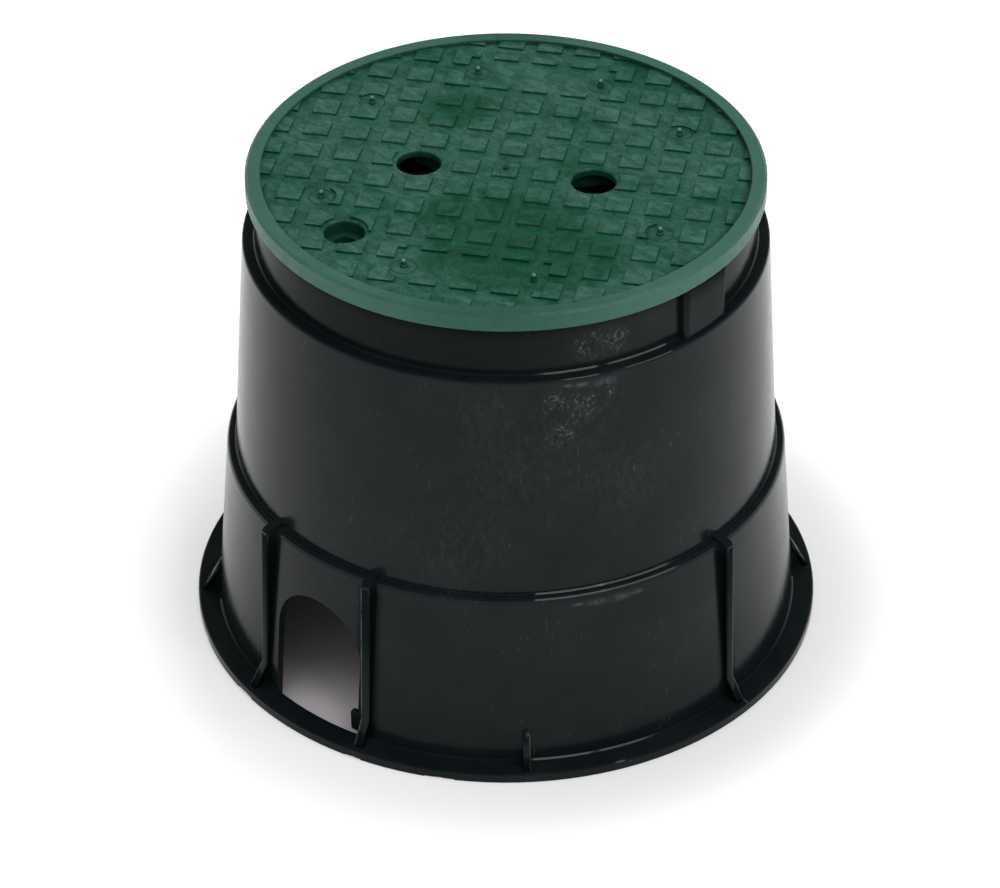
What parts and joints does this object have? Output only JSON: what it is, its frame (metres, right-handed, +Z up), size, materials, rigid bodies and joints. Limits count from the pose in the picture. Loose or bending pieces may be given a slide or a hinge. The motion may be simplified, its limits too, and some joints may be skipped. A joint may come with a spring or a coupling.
{
  "type": "irrigation valve box",
  "caption": "Round irrigation valve box: stepped black plastic body, open below, with arched pipe openings, and a green lift-off lid with raised squares, finger holes and a bolt hole.",
  "frame": {"origin": "centre of the base, on the plane the box stands on", "axes": "+Z up along the axis of the body, the two pipe openings face -Y and +Y"},
  "size_m": [0.3186, 0.3186, 0.2578],
  "materials": {
    "black_plastic": "black moulded plastic with a soft sheen, fine drag marks and scuffs",
    "green_plastic": "green moulded plastic, mottled, faintly textured"
  },
  "bodies": {
    "root": {"box_body": "black_plastic", "lid": "green_plastic"}
  },
  "joints": []
}
